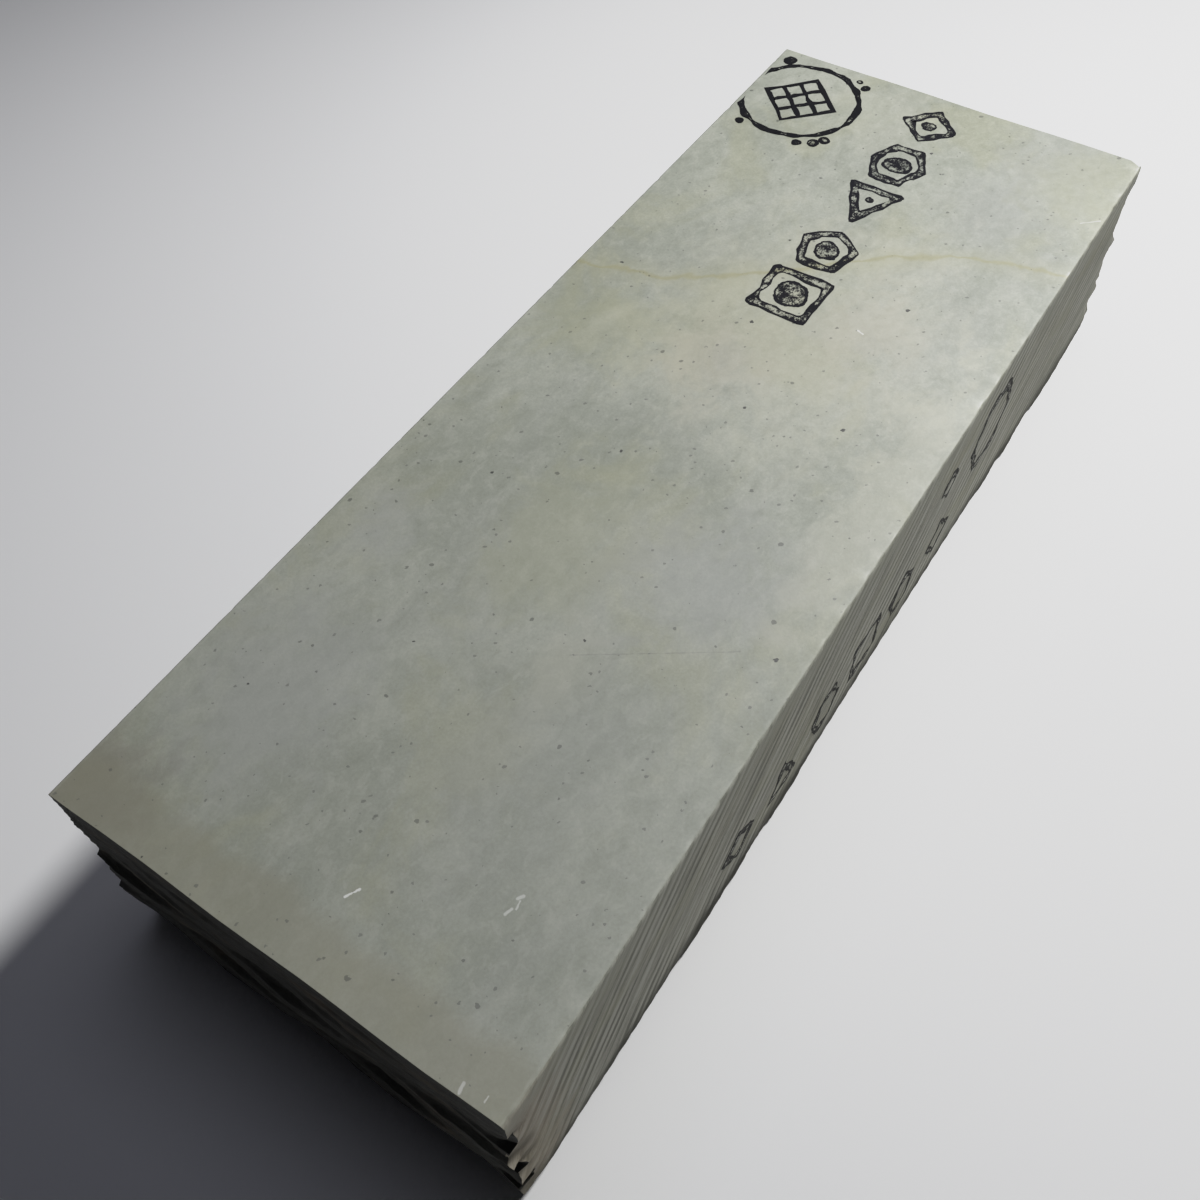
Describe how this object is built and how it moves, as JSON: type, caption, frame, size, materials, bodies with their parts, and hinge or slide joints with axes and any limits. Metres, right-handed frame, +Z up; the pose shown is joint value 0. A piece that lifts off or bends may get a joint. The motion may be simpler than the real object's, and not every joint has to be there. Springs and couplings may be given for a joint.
{
  "type": "sharpening whetstone",
  "caption": "Rectangular block of natural finishing stone with a flat honed top, sawn sides, split ends and worn ink marks.",
  "frame": {"origin": "middle of the resting face, at the bottom of the block", "axes": "+X along the stone towards the end with the ink marks, +Y towards its left side, +Z up out of the honed face"},
  "size_m": [0.208, 0.0776, 0.0435],
  "materials": {
    "stone": "matte grey-green sedimentary stone, honed on top, sawn on the sides, split at the ends",
    "top_ink": "dry black stamp ink, patchy and worn",
    "side_ink": "faded black brush ink, partly soaked in"
  },
  "bodies": {
    "root": {"stone_block": "stone", "stamp_ring": "top_ink", "stamp_lattice": "top_ink", "stamp_dot_1": "top_ink", "stamp_dot_2": "top_ink", "stamp_dot_3": "top_ink", "stamp_dot_4": "top_ink", "stamp_dot_5": "top_ink", "stamp_dot_6": "top_ink", "stamp_dot_7": "top_ink", "top_mark_1": "top_ink", "top_mark_2": "top_ink", "top_mark_3": "top_ink", "top_mark_4": "top_ink", "top_mark_5": "top_ink", "top_mark_1_core": "top_ink", "top_mark_2_core": "top_ink", "top_mark_3_core": "top_ink", "top_mark_4_core": "top_ink", "top_mark_5_core": "top_ink", "side_mark_1": "side_ink", "side_mark_2": "side_ink", "side_mark_3": "side_ink", "side_mark_4": "side_ink", "side_mark_5": "side_ink", "side_mark_6": "side_ink", "side_seal": "side_ink", "side_small_mark": "side_ink"}
  },
  "joints": []
}
